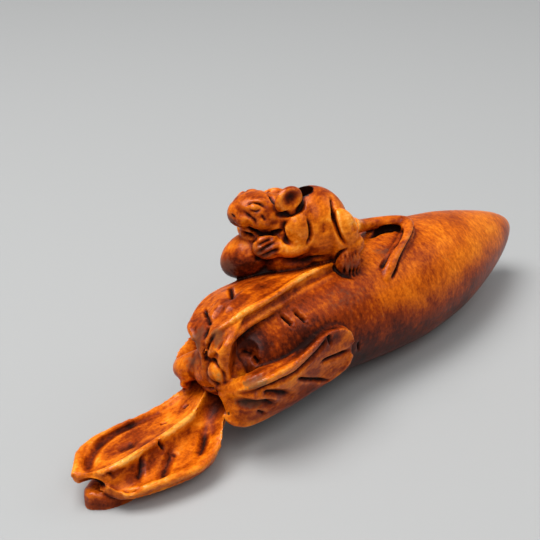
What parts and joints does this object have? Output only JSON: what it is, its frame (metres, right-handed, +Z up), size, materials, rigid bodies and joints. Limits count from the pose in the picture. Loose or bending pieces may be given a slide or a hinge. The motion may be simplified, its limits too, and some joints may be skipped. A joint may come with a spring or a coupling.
{
  "type": "carved bead",
  "caption": "Long carved wooden cord bead: a rat crouching on a radish with folded leaves, holding a round nut, with a cord hole through its back.",
  "frame": {"origin": "centre of the bounding box, at the level of the underside", "axes": "+X along the radish from its leaves to its tip, +Z up, the rat's nearer flank faces -Y"},
  "size_m": [0.0558, 0.0124, 0.0186],
  "materials": {
    "boxwood": "stained and polished boxwood, dark in the recesses"
  },
  "bodies": {
    "root": {"carved_bead": "boxwood"}
  },
  "joints": []
}
